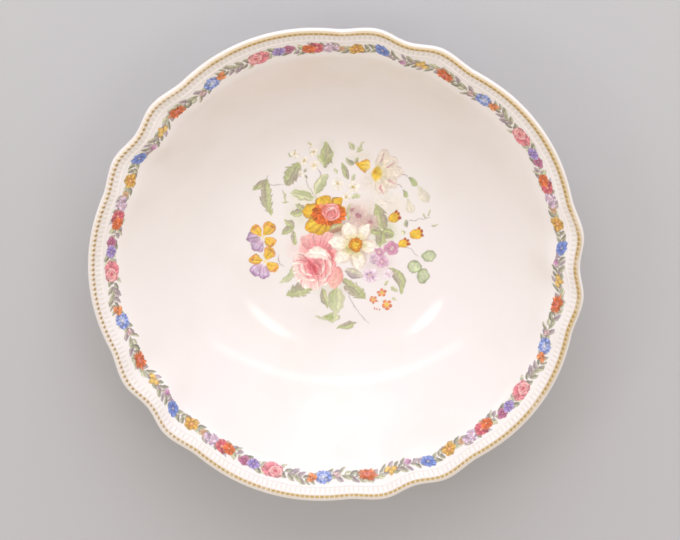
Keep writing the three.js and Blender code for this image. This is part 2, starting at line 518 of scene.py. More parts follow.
def along(colours, place):
    """Colours spread evenly from 0 to 1, at each place."""
    marks = np.linspace(0, 1, len(colours))
    return np.stack([np.interp(place, marks, [c[k] for c in colours]) for k in range(3)], -1)


def streaks(paint, across, place, count, strength):
    """Fine brush streaks that run along a petal, as factors of its colour."""
    values = paint.random.normal(0, 1, int(count) + 3)
    hair = (np.clip(across, -1, 1) * 0.5 + 0.5) * count + 0.6 * np.sin(3 * place)
    return 1 + strength * np.interp(hair, np.arange(len(values)), values)[..., None]


# Depth of a leaf's teeth as a share of its half width, look of curled petals, steps of a line
TOOTH_DEPTH = 0.35
CURL_SOFTNESS = 0.35
CURL_GRAIN = 0.07
CURVE_STEPS = 40


def blade(paint, base, tip, width, colours, *, bend=0, widest=0.62, blunt=0.55, edge=None,
          edge_share=0.5, teeth=0, other=None, rib=None, veins=0, soft=0.3, cover=1, grain=0.06):
    """One petal or leaf, coloured from its base to its tip. A leaf can be toothed, have other
    colours on its left half, and have a rib with veins."""
    base = np.array(base, float)
    run = np.array(tip, float) - base
    length = np.hypot(*run)
    run = run / length
    place, x, y = paint.near([base, tip], width * 0.75 + abs(bend) + 1)
    u = ((x - base[0]) * run[0] + (y - base[1]) * run[1]) / length
    inside = np.clip(u, 0, 1)
    side = (y - base[1]) * run[0] - (x - base[0]) * run[1] - bend * 4 * inside * (1 - inside)
    half = width / 2 * np.sin(np.pi * inside ** (math.log(0.5) / math.log(widest))) ** blunt
    if teeth:
        forward = np.mod(inside * teeth + 0.9 * np.abs(side) / width, 1)
        half = half * (1 - TOOTH_DEPTH * forward * smooth(inside, 0, 0.15))
    across = side / np.maximum(half, 1e-6)
    ends = np.minimum(u, 1 - u) * length * 1.6
    shape = smooth(np.minimum((1 - np.abs(across)) * half, ends + 0.3 * soft), 0, soft)
    colour = along(colours, inside)
    if other is not None:
        share = smooth(side, -0.2 * width, 0.2 * width)
        colour = colour + (along(other, inside) - colour) * share[..., None]
    if edge is not None:
        colour = blend(colour, edge, edge_share * smooth(np.abs(across), 0.45, 1) * smooth(u, 0, 0.15))
    if rib is not None:
        wave = np.mod(inside * veins - 0.28 * np.abs(side) / width * veins, 1)
        line = smooth(np.abs(wave - 0.5), 0.34, 0.5) * smooth(np.abs(side), 0.1, 0.5)
        colour = blend(colour, rib, 0.2 * line * (veins > 0))
        middle = 1 - smooth(np.abs(side), 0.05, 0.26)
        colour = blend(colour, rib, 0.6 * middle * smooth(1 - u, 0.05, 0.5))
    colour = colour * streaks(paint, across, u, max(4, width * 2.5), grain)
    paint.lay(place, np.clip(colour, 0, 255), shape * cover)


def wrap(paint, centre, start, end, reach, width, colours, *, squash=1, cover=1):
    """A petal curled round a centre, from one angle to another, coloured from its inner edge to
    its outer edge."""
    place, x, y = paint.near([centre], reach + width)
    dx = x - centre[0]
    dy = (y - centre[1]) / squash
    u = np.mod(np.degrees(np.arctan2(dy, dx)) - start, 360) / (end - start)
    half = width / 2 * np.sin(np.pi * np.clip(u, 0, 1)) ** 0.6
    across = (np.hypot(dx, dy) - reach) / np.maximum(half, 1e-6)
    shape = smooth((1 - np.abs(across)) * half, 0, CURL_SOFTNESS) * (u < 1)
    hairs = streaks(paint, 2 * u - 1, across, width * 3, CURL_GRAIN)
    colour = along(colours, across / 2 + 0.5) * hairs
    paint.lay(place, np.clip(colour, 0, 255), shape * cover)


def polar(centre, angle, reach):
    turn = math.radians(angle)
    return centre[0] + reach * math.cos(turn), centre[1] + reach * math.sin(turn)


def curve(points):
    """A smooth line through a few points."""
    points = np.array(points, float)
    ends = np.vstack([2 * points[0] - points[1], points, 2 * points[-1] - points[-2]])
    t = np.linspace(0, 1, CURVE_STEPS // (len(points) - 1) + 2)[:, None]
    parts = []
    for a, b, c, d in zip(ends, ends[1:], ends[2:], ends[3:]):
        parts.append(b + (c - a) * t / 2 + (a - 2.5 * b + 2 * c - d / 2) * t ** 2
                     + (3 * b - a - 3 * c + d) * t ** 3 / 2)
    return np.vstack(parts)


def stroke(paint, points, width, colour, *, origin=(0, 0), taper=0.5, soft=0.15, cover=0.9, ends=0.15):
    """One brush line through a few points, thinner towards its end."""
    line = curve(np.add(points, origin))
    place, x, y = paint.near(line, width + soft)
    best = np.full(x.shape, 1e9)
    where = np.zeros(x.shape)
    for i, (a, b) in enumerate(zip(line, line[1:])):
        run = b - a
        t = np.clip(((x - a[0]) * run[0] + (y - a[1]) * run[1]) / max(run @ run, 1e-9), 0, 1)
        gap = np.hypot(x - a[0] - t * run[0], y - a[1] - t * run[1])
        nearer = gap < best
        best = np.where(nearer, gap, best)
        where = np.where(nearer, (i + t) / (len(line) - 1), where)
    half = width / 2 * (1 - taper * where) * smooth(np.minimum(where, 1 - where), -0.05, ends)
    paint.lay(place, colour, cover * (1 - smooth(best - half, -soft, soft)))


def spot(paint, centre, size, colours, *, tilt=0, soft=0.35, cover=1, edge=None, grain=0.05):
    """An oval of paint, coloured from its middle outwards."""
    size = np.broadcast_to(np.array(size, float), (2,))
    place, x, y = paint.near([centre], size.max() + soft + 0.5)
    cos, sin = polar((0, 0), tilt, 1)
    dx = x - centre[0]
    dy = y - centre[1]
    p = (dx * cos + dy * sin) / size[0]
    q = (dy * cos - dx * sin) / size[1]
    far = np.hypot(p, q)
    colour = along(colours, far)
    if edge is not None:
        colour = blend(colour, edge, 0.8 * smooth(far, 0.7, 1))
    colour = colour * streaks(paint, np.arctan2(q, p) / np.pi, far, 9, grain)
    shape = 1 - smooth((far - 1) * size.mean(), -soft, soft * 0.5)
    paint.lay(place, np.clip(colour, 0, 255), shape * cover)


def leaf(paint, base, tip, width, bend=0, teeth=0, *, light=LEAF, dark=LEAF_SHADE, rib=PLUM, veins=0,
         cover=0.92):
    """A leaf with one light half and one shaded half."""
    pale = tuple(blend(light, LEAF_PALE, 0.5))
    blade(paint, base, tip, width, (dark, dark, light), bend=bend, teeth=teeth, other=(light, pale, light),
          rib=rib, veins=veins, edge=rib, edge_share=0.4, cover=cover, blunt=0.7, widest=0.45)


def fan(paint, centre, petals, colours, **more):
    """Petals that spread from a centre, each given as its angle, reach and width."""
    for angle, reach, width in petals:
        blade(paint, polar(centre, angle, 0.1 * reach), polar(centre, angle, reach), width, colours, **more)


def floret(paint, centre, reach, colours, middle, *, turn=0, width=1.05, **more):
    """A small open flower of five equal petals."""
    options = {"soft": min(0.3, reach * 0.15), "cover": 0.9, **more}
    spread = [(turn + angle, reach, width * reach) for angle in range(0, 360, 72)]
    fan(paint, centre, spread, colours, **options)
    spot(paint, centre, reach * 0.26, (middle, middle), soft=0.2)


def pink_rose(paint, centre):
    """A full rose: broad petals behind, a pale curled one over the top, and a deep, slit heart."""
    x, y = centre
    heart = (x - 2, y - 1.8)
    rosy = (ROSE_DEEP, ROSE, (240, 164, 164), (246, 186, 180))
    curled = (ROSE, ROSE_PALE, ROSE_CREAM, ROSE_PALE)
    lowest = ((226, 150, 146), (238, 176, 164), (240, 184, 172))
    blade(paint, (x + 11, y - 2.2), (x + 8, y - 13.8), 7.6, lowest, edge=(222, 146, 140), blunt=0.5,
          widest=0.5, soft=0.5)
    spot(paint, (x - 0.8, y - 1.6), (9.8, 11.6), (ROSE, (238, 160, 160), ROSE_PALE), soft=1.6)
    back = (
        (148, 11.4, 7.6), (12, 9.6, 7.6), (122, 13.2, 8.8), (38, 12.4, 8.4), (96, 13.4, 9),
        (66, 14.4, 9.8),
    )
    fan(paint, (x + 1.6, y + 2.4), back, (ROSE_DEEP, (226, 142, 146), (236, 172, 170), (242, 196, 188)),
        blunt=0.4, edge=(224, 148, 150), grain=0.1, soft=0.5)
    front = (
        (150, 9.4, 7.6), (204, 10.2, 7.4), (178, 9.4, 6.6), (230, 11.4, 7.4), (302, 12, 6.6),
        (254, 12.4, 7.6), (280, 12.8, 7),
    )
    fan(paint, heart, front, (ROSE_DEEP, ROSE, ROSE_PALE, ROSE_CREAM), blunt=0.45, edge=ROSE, grain=0.1,
        soft=0.5)
    for curl in (
        (296, 420, 10.6, 2.2, rosy), (290, 440, 8.9, 3.2, curled), (284, 410, 6.9, 2, rosy),
        (280, 404, 5.5, 2.2, curled), (172, 282, 7.4, 3.4, curled), (160, 270, 5, 2.8, curled),
        (276, 396, 3.9, 1.8, rosy), (140, 250, 3.2, 2, rosy),
    ):
        wrap(paint, heart, *curl)
    over = (ROSE_PALE, (252, 232, 220), (250, 238, 226), ROSE_CREAM, ROSE_PALE)
    blade(paint, (x - 5.8, y + 3.2), (x + 6.4, y + 1.6), 6.8, over, bend=2, widest=0.5, blunt=0.5,
          edge=ROSE_PALE, edge_share=0.6, grain=0.04, soft=0.8)
    for reach, size in ((0.2, 2.6), (1.6, 2.2), (3.4, 1.6), (5.2, 1.1)):
        spot(paint, polar(heart, -58, reach), (size, size * 0.75), ((176, 60, 72), (194, 78, 86), ROSE),
             tilt=-58, soft=1, cover=0.8)
    for start, end, bow, width in (
        ((-2.2, 3.4), (2.4, -7.8), 0.8, 0.9), ((1.4, 2.2), (4.4, -6.6), 1.2, 0.7),
        ((4.4, 3), (6, -6.4), 1.4, 0.6), ((7.8, 4.6), (8.6, -4.6), 1.6, 0.9),
        ((-4, 0.2), (-1.6, -7.6), -0.4, 0.5), ((6.6, 7.8), (10.4, 1.4), 1, 1.5),
    ):
        middle = ((start[0] + end[0]) / 2 + bow, (start[1] + end[1]) / 2 + bow * 0.5)
        stroke(paint, (start, middle, end), width, (190, 76, 82), origin=heart, cover=0.55, taper=0.4,
               soft=0.4)


def yellow_rose(paint, centre):
    """A rose with amber outer petals, a ruff of orange ones and a pink heart."""
    outer = (
        (20, 8.8, 5.2), (52, 10.2, 5.6), (168, 12.4, 8.4), (110, 9.8, 9.2), (250, 9, 7.4),
        (234, 11.8, 8.2), (216, 13.2, 8),
    )
    fan(paint, centre, outer, (ORANGE, AMBER, YELLOW, AMBER), blunt=0.38, widest=0.68,
        edge=(180, 126, 54), edge_share=0.85)
    ruff = ((178, 66, 26), (200, 88, 32), (212, 110, 46))
    for first, last, step, reach in ((145, 400, 18, 8.6), (155, 390, 23, 6)):
        for angle in range(first, last, step):
            length = reach * (0.83 + 0.17 * math.cos(math.radians(angle - 180) * 2))
            blade(paint, polar(centre, angle, 2), polar(centre, angle, length), 3.6, ruff,
                  edge=(170, 68, 30), edge_share=0.6, blunt=0.4, grain=0.16)
    inner = ((44, 6.6, 3), (70, 6.6, 3), (98, 6.4, 3), (124, 6.4, 3))
    fan(paint, centre, inner, (ORANGE_RED, (220, 128, 92), (226, 150, 112)), grain=0.14)
    heart = (centre[0] + 1.1, centre[1] + 0.9)
    spot(paint, heart, (4.8, 4.6), ((206, 110, 116), (220, 140, 136), (206, 104, 84)), soft=0.8)
    for curl in (
        (20, 130, 3.9, 1.9), (250, 380, 3.8, 1.9), (130, 250, 3.8, 1.2), (40, 190, 2.3, 1.7),
        (200, 330, 2.2, 1.3), (330, 440, 2.3, 1.7),
    ):
        wrap(paint, heart, *curl, (ROSE_DEEP, (230, 158, 158), (240, 184, 180), ROSE))
    spot(paint, polar(heart, 78, 1.9), (1.9, 0.9), ((246, 218, 214), (238, 190, 188)), tilt=20, soft=0.6)
    for points in (
        ((-4.2, -0.4), (-3, 2.6), (0.2, 4)), ((-3.2, -1.8), (-2.4, 1), (0.4, 2.8)),
        ((-2, -2.6), (-1.6, -0.4), (0.6, 1.4)), ((0.4, -3.6), (1.8, -1.4), (1.6, 1.4)),
    ):
        stroke(paint, points, 0.55, (190, 76, 60), origin=heart, cover=0.6)


def narcissus(paint, centre):
    """Six cream petals, olive at their bases, behind a ruffled yellow cup."""
    petal = ((194, 174, 90), (226, 214, 168), (243, 235, 218), (246, 238, 226), (245, 236, 222))
    spot(paint, centre, 8, ((170, 148, 116), (180, 146, 138)), soft=2.6, cover=0.7)
    for angle, reach, width in (
        (-9, 11, 7.6), (222, 13, 7.8), (170, 13.2, 8.4), (58, 12.2, 7.8), (-81, 12.8, 8.2),
        (112, 12.4, 8.4),
    ):
        blade(paint, polar(centre, angle, 1), polar(centre, angle, reach), width, petal, widest=0.58,
              blunt=0.75, edge=(200, 170, 150), edge_share=0.55, grain=0.02)
        for turn in (-12, 0, 12):
            line = (polar(centre, angle + turn * 0.4, 3), polar(centre, angle + turn, 6.4))
            stroke(paint, line, 0.5, (198, 188, 128), cover=0.35, soft=0.35)
    spot(paint, polar(centre, 215, 3.6), (3, 2.2), ((176, 166, 96), (190, 182, 116)), tilt=-40, soft=1.4,
         cover=0.6)
    ruffle = [(k * 30, 3.7, 2.2) for k in range(12)]
    fan(paint, centre, ruffle, (YELLOW, (220, 150, 44), (184, 102, 34)), edge=(150, 80, 34), edge_share=0.8)
    spot(paint, centre, 2, ((214, 160, 52), YELLOW, AMBER), soft=0.4)
    for start in (20, 140, 260):
        wrap(paint, centre, start, start + 105, 1.7, 0.8, ((158, 84, 30), (186, 112, 38)), cover=0.85)


def pansy(paint, centre, warm, cool):
    """A pansy seen from the front. Each petal is an angle, reach and width."""
    fan(paint, centre, cool, ((236, 222, 226), LILAC, (206, 184, 212), LILAC_DEEP), blunt=0.45,
        widest=0.66, edge=LILAC_DEEP, grain=0.1)
    fan(paint, centre, warm, (YELLOW, YELLOW, (234, 186, 84), AMBER), blunt=0.45, widest=0.66,
        edge=(196, 124, 96), edge_share=0.65, grain=0.1)
    for angle, reach, _ in warm:
        wrap(paint, centre, angle - 26, angle + 16, reach * 0.82, 1, ((184, 84, 76), (184, 96, 104)),
             cover=0.7)
        line = (polar(centre, angle, reach * 0.2), polar(centre, angle + 6, reach * 0.6))
        stroke(paint, line, 0.4, (196, 110, 50), cover=0.6)
    spot(paint, centre, 0.7, (CREAM, YELLOW), soft=0.3)


def lily(paint, centre):
    """A pale trumpet lily that opens to the right."""
    pale = ((214, 204, 156), (230, 218, 196), (234, 222, 205), (226, 213, 197))
    petals = ((68, 13.2, 6.8), (-68, 11, 6.6), (38, 13, 8), (-34, 12, 7.6), (4, 13, 8.4))
    fan(paint, centre, petals, pale, widest=0.56, blunt=0.62, edge=(204, 190, 176), edge_share=0.55,
        cover=0.85, grain=0.03)
    for angle, start, end in ((70, 5.6, 11), (32, 5.5, 10.5), (-30, 6, 10.8), (-74, 5.4, 10.5)):
        line = ((angle + 3, start), (angle - 2, (start + end) / 2), (angle, end))
        stroke(paint, [polar(centre, *place) for place in line], 0.8, (192, 122, 134), cover=0.7, soft=0.35)
    spot(paint, centre, (2.3, 4.2), ((206, 170, 60), YELLOW, (222, 200, 120)), tilt=-12, soft=0.6)
    spot(paint, (centre[0] - 0.5, centre[1] + 1.2), (0.8, 1.7), ((190, 140, 50), AMBER), tilt=-20)


def lantern(paint, centre, size, tilt):
    """A round amber bud with dark tips."""
    spot(paint, centre, (size, size * 0.85), (YELLOW, YELLOW, AMBER), tilt=tilt, edge=(204, 144, 70))
    for turn in (-34, 6, 42):
        angle = tilt + turn
        stroke(paint, (centre, polar(centre, angle, size * 0.75)), 0.5, (220, 150, 60), cover=0.6)
        spot(paint, polar(centre, angle, size * 0.86), (0.9, 0.65), ((196, 84, 48), (150, 70, 60)),
             tilt=angle, soft=0.25)


def bell(paint, calyx, mouth, tip, width):
    """A pale bell flower that hangs from a green calyx."""
    blade(paint, mouth, tip, width, ((208, 206, 178), (226, 219, 197), (216, 208, 188)),
          edge=(196, 190, 168), cover=0.8)
    blade(paint, calyx, mouth, width * 0.62, (LEAF_DEEP, LEAF, LEAF), edge=LEAF_DEEP, cover=0.85)


STEMS = (
    ((-34.1, 33.6), (-34.4, 31.4), (-33.2, 28.8), (-29.5, 28.1), (-24.8, 28.4)),
    ((-15.6, 33.2), (-15, 28.2), (-12.3, 23.8), (-11, 21)),
    ((1.6, -23.5), (4.8, -29.5), (8.6, -36.6), (14, -43.2)),
    ((30, -2.8), (34.6, -5.2), (38.6, -8.9)),
    ((28.4, 33.7), (31.4, 32.8), (33.8, 31.4)),
    ((26.3, 29.1), (29, 27.6), (31.1, 25.8)),
    ((-29.2, -6.6), (-29.8, -10.2), (-27.4, -13)),
    ((33.4, 9.3), (38, 9.8), (44.6, 11.3)),
    ((-10, 38), (-8, 31), (-9, 26)),
)

# Leaves of the bouquet: base, tip and width, then bend and teeth where there are any
LARGE_LEAVES = (
    ((-34.9, 31.4), (-41.4, 26), 4.4, 0.6), ((-34.3, 31.6), (-32.4, 12.3), 6.8, -1.6, 6),
    ((-25.2, 28), (-17.6, 39.3), 9, 0.8, 5), ((-6.2, 36.1), (-5.1, 50.2), 7, 0, 3),
    ((-16.8, 15), (-23.7, 13.2), 4.6, 0, 4), ((-16.8, 15.8), (-21.4, 19), 4.2, 0, 3),
    ((-21.4, 7), (-28.2, 3.6), 4.2, -0.8), ((-21.4, 7.2), (-26.8, 10.8), 3.4),
    ((-22.4, 5.4), (-21.8, -1.8), 3.4), ((-12.4, -21), (-27.3, -27.6), 8.6, 0.6, 6),
    ((-9.2, -23.8), (-6.1, -34.5), 3.6, -0.5), ((7.4, -41.8), (-2.7, -44.6), 3.9),
    ((1.3, -19.4), (12.6, -29.6), 7.8, -0.5, 4), ((23.7, -13.8), (29.2, -27.6), 5.4, 2.6),
    ((21.8, 5.2), (17.2, 18.6), 7.4, -0.6, 3), ((20.2, 3.6), (26.6, 2.6), 5.4),
    ((20.6, 4.6), (19.2, -3.6), 7, 0, 3), ((20.4, 4.2), (14.8, 5.2), 4.6),
    ((4.9, 30.4), (2, 38.8), 3.4), ((4.6, 9.8), (5.4, 18.6), 3.4),
)
PALE_LEAVES = (
    ((-12.1, 21.1), (-23.6, 24.4), 5.4, -0.5), ((-11.2, 23.4), (-4.8, 33.4), 5.8, 0.8),
    ((-22.4, -11.8), (-30.2, -21), 3.6, 2.2), ((-1.4, -38.6), (-13.2, -38.4), 2.8, 1),
    ((-2, -23.4), (-2.6, -37.8), 8.2), ((-4.2, -36.8), (-4.4, -41.8), 7.2),
    ((-6.3, 37.5), (-9.6, 43.5), 3.2), ((-5.6, 38.5), (-1.9, 45.2), 3.2), ((8.2, 45.4), (5.2, 49.2), 2.8),
    ((9.4, 44.6), (12.8, 49.6), 2.2), ((9.2, 44.2), (12.2, 45.6), 1.8), ((6.4, 29.6), (8.7, 33.2), 2.2),
    ((5.5, 21), (10.5, 23.2), 2.8), ((-0.9, 33), (-1.7, 36.8), 1.7), ((31.8, 2.6), (30, 4.8), 2.2),
    ((41.4, 10.6), (40.9, 13.4), 1.3), ((42.6, 11.4), (43.8, 15), 1.2),
    ((44.2, 7.6), (48.4, 7.6), 1.2, -0.5), ((24.2, -23.8), (27.6, -26.8), 2.8),
    ((21, -23.4), (23.4, -20.8), 1.8), ((25.2, -29.4), (27.2, -31), 1.6),
    ((-27.6, 26), (-25.6, 18), 1.4, 0.8), ((-27.4, 19.6), (-23.8, 19.4), 1.4),
)
SMALL_DARK_LEAVES = (
    ((32.9, 6.4), (32.1, 10.4), 2.5), ((7.6, 37.6), (3.4, 41.4), 2.8), ((7.8, 38), (10.2, 41.8), 2.4),
    ((-22.2, 42.2), (-23.8, 44.6), 1.4), ((-20.4, 43.6), (-20, 46), 1.4),
    ((-12.4, 44.4), (-13.8, 43), 1.4), ((-16.4, 34.8), (-14.6, 36.4), 1.6),
    ((-15, 31.6), (-16.8, 33.4), 1.6), ((-12, 48.4), (-14.8, 48.8), 1.5),
)
VEINED_WIDTH = 6

# Soft washes of colour between the flowers: centre, size, colour, cover
WASHES = (
    ((10.5, 12.5), (9.5, 8.5), (206, 178, 160), 0.55),
    ((13, 7), (6, 5), (182, 138, 124), 0.6),
    ((3, 6.5), (4.5, 5), (156, 112, 90), 0.6),
    ((21.5, 4.5), (7, 8), (190, 198, 142), 0.6),
    ((-1, 3.5), (6, 5), (166, 140, 110), 0.6),
    ((-18.5, 13.5), (7.5, 7.5), (206, 208, 164), 0.4),
    ((-15.5, 23), (8.5, 4.5), (214, 212, 176), 0.4),
    ((18.5, -12), (8.5, 8), (208, 178, 180), 0.4),
    ((-4.5, -24), (10.5, 5.5), (200, 194, 168), 0.4),
    ((-22, -4), (4.5, 6), (232, 196, 190), 0.35),
    ((-5.5, 43), (5, 8), (192, 196, 152), 0.3),
    ((11, 41), (7, 4.5), (214, 206, 170), 0.3),
    ((17, 29), (7.5, 6.5), (222, 210, 186), 0.5),
    ((23, 18), (10, 6.5), (226, 218, 194), 0.4),
)

# Small flowers of the bouquet: centre and reach, then the mauve ones' colours and the pansies' petals
CREAM_FLORETS = (
    ((-16.2, 40.1), 2.6), ((-11.4, 38), 2.6), ((-11.7, 44.1), 2.4), ((-13.1, 48), 1.7),
    ((-20.6, 43.5), 2.2), ((-0.4, 28), 3.2), ((7.1, 26.8), 3.2), ((3.7, 21.9), 2.4), ((-17.8, 33.8), 1.6),
)
HIDDEN_FLORETS = (((9.4, 12.4), 5.2), ((15.2, 9), 4.4), ((6.6, 15.6), 3.2))
MAUVE_FLORETS = (
    ((25.2, -4.4), 3.9, (MAGENTA, (190, 124, 156), (206, 150, 176))),
    ((19.2, -6.2), 2.8, (MAGENTA, (200, 142, 172), (214, 172, 192))),
    ((20.2, -11.2), 3.6, (MAGENTA, (214, 168, 194), (228, 194, 210))),
    ((16.6, -9.4), 2.6, (LILAC_DEEP, (214, 186, 204), (228, 206, 218))),
    ((14.6, -18), 3.8, ((186, 140, 180), (232, 212, 226), (242, 228, 236))),
    ((23, -17.2), 2.8, ((206, 180, 206), (238, 224, 232), (242, 230, 236))),
)
PANSIES = (
    ((-37.2, 2.4), ((56, 8.4, 7), (134, 7.2, 5.4), (-36, 7.4, 6)), ((182, 7.8, 6), (240, 8.2, 6.6))),
    ((-36.4, -10.2), ((64, 7.8, 6.4), (166, 7.8, 5.6), (-36, 7.4, 5.8)),
     ((222, 9.4, 6.4), (264, 8.8, 6.4))),
)
ORANGE_FLORETS = (((19.8, -26.7), 2.4), ((15.9, -30.4), 2.2), ((22.4, -32.9), 2.6))


def foliage(paint):
    """Washes, stems, leaves and green buds, all behind the flowers."""
    for centre, size, colour, cover in WASHES:
        spot(paint, centre, size, (colour, colour), soft=0.9 * min(size), cover=cover, grain=0.03)
    for points in STEMS:
        stroke(paint, points, 0.5, STEM, cover=0.7, taper=0.4)
    for base, tip, width, *shape in LARGE_LEAVES:
        leaf(paint, base, tip, width, *shape, veins=7 if width > VEINED_WIDTH else 0)
    for row in PALE_LEAVES:
        leaf(paint, *row, light=LEAF_PALE, dark=LEAF, cover=0.8, rib=(146, 132, 116))
    for row in SMALL_DARK_LEAVES:
        leaf(paint, *row, light=LEAF, dark=LEAF_DEEP, cover=0.75)
    leaf(paint, (2.3, -15.4), (11.4, -18), 5.4, light=(206, 200, 184), dark=(178, 164, 166), veins=4)
    for centre, size, tilt in (
        ((43.2, -8.4), (3.7, 2.7), 15), ((36.1, -13.8), (3.4, 3.3), 0), ((40.3, -18.2), (2.9, 3.9), -8),
    ):
        spot(paint, centre, size, (LEAF_PALE, (190, 206, 162), LEAF), tilt=tilt, edge=LEAF_DEEP, cover=0.85)


def flowers_above(paint):
    """The upper half of the spray: cream florets, the lily with its bud, and the bells."""
    for centre, reach in CREAM_FLORETS:
        floret(paint, centre, reach, ((220, 210, 176), (244, 236, 218), (246, 240, 226)), (210, 190, 130),
               turn=18 + 10 * centre[0], edge=(224, 214, 196), cover=0.6)
    lily(paint, (18.4, 33.2))
    blade(paint, (5.6, 39.2), (15.4, 36.4), 7.4, (ORANGE, AMBER, YELLOW, (240, 216, 140)), widest=0.8,
          blunt=0.8, edge=(190, 116, 66), edge_share=0.8)
    bell(paint, (33.6, 31.2), (38, 27), (43.2, 18.6), 5.4)
    bell(paint, (30.9, 25.6), (33.2, 20.6), (34.9, 13), 4.6)
    blade(paint, (27.6, 17.4), (18.2, 18.8), 2.8, ((226, 214, 200), (238, 228, 214)), bend=-0.9, cover=0.6)


def large_flowers(paint):
    """The two roses and the narcissus, with pale lilac flowers behind them."""
    for centre, reach in HIDDEN_FLORETS:
        floret(paint, centre, reach, ((180, 128, 136), (210, 178, 170), (220, 198, 186)), (180, 128, 136),
               turn=20, cover=0.5, soft=0.8)
    pink_rose(paint, (-11.6, -10.4))
    yellow_rose(paint, (-5.2, 13.3))
    leaf(paint, (-5, 4.2), (2.2, 8.2), 5.2, light=(184, 172, 116), dark=(160, 116, 90))
    narcissus(paint, (7.6, -2.4))


def flowers_round(paint):
    """The small flowers at both sides and below: mauve florets, lanterns, pansies and orange ones."""
    for centre, reach, petal in MAUVE_FLORETS:
        floret(paint, centre, reach, petal, (222, 190, 190), turn=9 * centre[1], edge=(184, 140, 166),
               soft=0.5)
    for centre in ((13.4, -17.2), (15.8, -18.8), (14.8, -16.6), (16.4, -11.6)):
        spot(paint, centre, 0.5, (LILAC_DEEP, LILAC_DEEP), soft=0.3, cover=0.7)
    for centre, size, tilt in (((26.6, 11.4), 3, 28), ((37.4, 2.9), 3.2, 22), ((31, -1.7), 3, 28)):
        lantern(paint, centre, size, tilt)
    for centre, warm, cool in PANSIES:
        pansy(paint, centre, warm, cool)
    for centre, reach in ORANGE_FLORETS:
        floret(paint, centre, reach, (YELLOW, ORANGE, ORANGE_RED), YELLOW, turn=12 * centre[0],
               edge=(204, 92, 54), width=0.85)
    for centre in ((16.2, -34.6), (17.4, -35.1), (18.8, -35.4)):
        spot(paint, centre, (0.35, 0.7), (ORANGE_RED, ORANGE_RED), tilt=-20, soft=0.15)


def bouquet():
    paint = Paint((-47, -47), (51, 52.5), BOUQUET_PER_MM, BOUQUET_SEED)
    foliage(paint)
    flowers_above(paint)
    large_flowers(paint)
    flowers_round(paint)
    paint.by_hand(0.5, 2.2)
    paint.by_hand(0.2, 0.7)
    paint.fade((240, 224, 210), 0.06, 0.06)
    return paint


# Length of border that one lobe takes up, and how far its print runs: it laps over the next one
GARLAND_LENGTH = 133.2
GARLAND_END = 138.6
# Petals, tones and edge of the three mauve flowers
MAUVE = (5, ((164, 128, 162), (202, 178, 202), (222, 204, 216)), (166, 134, 168))

# Open flowers along the garland: place, reach, petals, tones from the middle outwards, and edge
GARLAND_FLOWERS = (
    ((9.4, 0.7), 3.3, 5, (BLUE_DEEP, BLUE, (140, 162, 220)), BLUE_DEEP),
    ((21.2, -0.4), 3.5, 6, ((196, 116, 66), (214, 164, 78), (226, 186, 102)), (188, 138, 68)),
    ((28.4, 0.2), 1.9, 5, ((170, 124, 104), (206, 166, 126), (216, 186, 150)), (172, 132, 110)),
    ((31.4, 0.6), 2.1, *MAUVE),
    ((34.4, -0.8), 2.2, *MAUVE),
    ((34.2, 1.9), 1.8, *MAUVE),
    ((39.6, 0.4), 3.4, 5, (CRIMSON, (196, 88, 100), (214, 130, 132)), (168, 70, 88)),
    ((43.2, -0.6), 3.1, 6, ((196, 76, 42), CORAL, (222, 132, 84)), (184, 76, 46)),
    ((52.4, 0.7), 2.6, 5, ((140, 62, 108), (174, 100, 134), (196, 140, 162)), (144, 76, 112)),
    ((57.2, 0.2), 2.9, 6, ((120, 100, 178), (140, 118, 180), (190, 176, 220)), (126, 106, 178)),
    ((86, 0.3), 2.4, 5, ((204, 98, 56), (222, 134, 84), (234, 166, 116)), (202, 100, 64)),
    ((91.8, 0), 3.9, 6, (BLUE_DEEP, BLUE, BLUE_PALE), BLUE_DEEP),
    ((91.6, 0.1), 2.1, 5, ((206, 212, 236), BLUE_PALE, (190, 198, 232)), BLUE),
    ((98.2, -0.9), 1.5, 5, ((170, 124, 150), (204, 170, 170), (216, 190, 176)), (166, 130, 146)),
)


def open_flower(paint, centre, reach, petals, tones, edge):
    """A loose flower, a little longer along the garland than across it."""
    turn = paint.random.uniform(0, 360)
    for i in range(petals):
        angle = turn + i * 360 / petals + paint.random.uniform(-8, 8)
        stretch = 0.88 + 0.22 * abs(math.cos(math.radians(angle)))
        length = reach * stretch * paint.random.uniform(0.92, 1.1)
        blade(paint, centre, polar(centre, angle, length), 5.6 * reach / petals, tones, blunt=0.5,
              widest=0.66, edge=edge, edge_share=0.7, grain=0.16)
        line = (polar(centre, angle + 9, length * 0.35), polar(centre, angle + 9, length * 0.8))
        stroke(paint, line, 0.4, tones[-1], cover=0.55)
    spot(paint, centre, reach * 0.24, ((236, 214, 160), tones[0]), soft=0.3)


def garland_rose(paint, centre):
    """A crimson rose, longer along the garland than across it."""
    petals = (
        (172, 5.4, 4.6), (205, 4.8, 4), (145, 4.6, 4), (95, 3.5, 5), (60, 3.8, 4.4), (20, 5.2, 4.6),
        (-18, 5.2, 4.4), (-55, 3.8, 4.6), (-95, 3.6, 5), (-130, 4.2, 4.4),
    )
    fan(paint, centre, petals, (CRIMSON, (206, 108, 122), (220, 142, 150)), edge=(230, 176, 174),
        grain=0.14)
    heart = (centre[0] + 1.6, centre[1] + 0.3)
    spot(paint, heart, (3.2, 2.4), (CRIMSON, (232, 168, 166), (246, 212, 204)), soft=0.5)
    for curl in (
        (20, 170, 2.3, 1.5), (170, 300, 2.2, 1.3), (280, 400, 2.2, 1.3), (60, 220, 1.1, 0.9),
        (230, 380, 1.1, 0.8),
    ):
        wrap(paint, heart, *curl, (CRIMSON, (228, 158, 156), (246, 212, 204)), squash=0.8)


